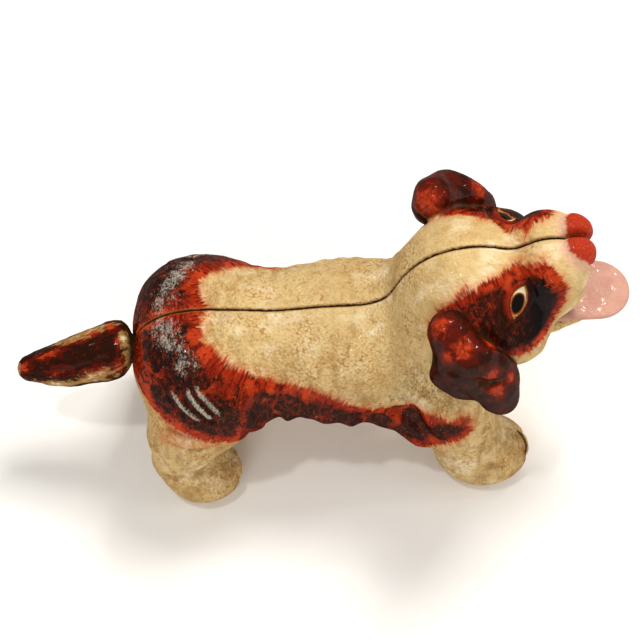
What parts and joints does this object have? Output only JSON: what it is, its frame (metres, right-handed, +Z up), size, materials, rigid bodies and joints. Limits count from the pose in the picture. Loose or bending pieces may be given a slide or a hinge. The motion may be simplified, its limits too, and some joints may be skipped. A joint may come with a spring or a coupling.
{
  "type": "cast iron coin bank",
  "caption": "Cast iron puppy coin bank: hollow halves split along the back, a hinged tail, and a flat tongue that the tail tips up to slide a coin into the throat.",
  "frame": {"origin": "on the floor, under the middle of the length from the tail's tip to the tongue's tip", "axes": "+X the way the dog faces, +Y its left side, +Z up; the seam between the castings is the plane y = 0"},
  "size_m": [0.192, 0.0746, 0.1036],
  "materials": {
    "body_paint": "old brushed enamel on sand-cast iron: cream with red and dark brown patches",
    "tail_paint": "glossy dark brown with red streaks",
    "tongue_paint": "satin pink",
    "steel": "dull, a little rusty"
  },
  "bodies": {
    "body": {"left_casting": "body_paint", "right_casting": "body_paint", "tail_pin": "steel", "tongue_pin": "steel", "rear_screw": "steel", "front_screw": "steel"},
    "tail": {"tail": "tail_paint"},
    "tongue": {"tongue": "tongue_paint"},
    "link": {"link": "steel"}
  },
  "joints": [
    {"name": "tail_lift", "type": "hinge", "parent": "body", "child": "tail", "pos_m": [-0.048, 0, 0.051], "axis": [0, 1, 0], "range_deg": [0, 16]},
    {"name": "tongue_tip", "type": "hinge", "parent": "body", "child": "tongue", "pos_m": [0.063, 0, 0.0666], "axis": [0, 1, 0], "range_deg": [-12.2, 0.2]},
    {"name": "link_turn", "type": "hinge", "parent": "tail", "child": "link", "pos_m": [-0.048, -0.003, 0.0552], "axis": [0, 1, 0], "range_deg": [-16.4, 0.2]}
  ],
  "couplings": [
    {"joint": "tongue_tip", "follows": "tail_lift", "ratio": -0.75},
    {"joint": "link_turn", "follows": "tail_lift", "ratio": -1.009}
  ]
}
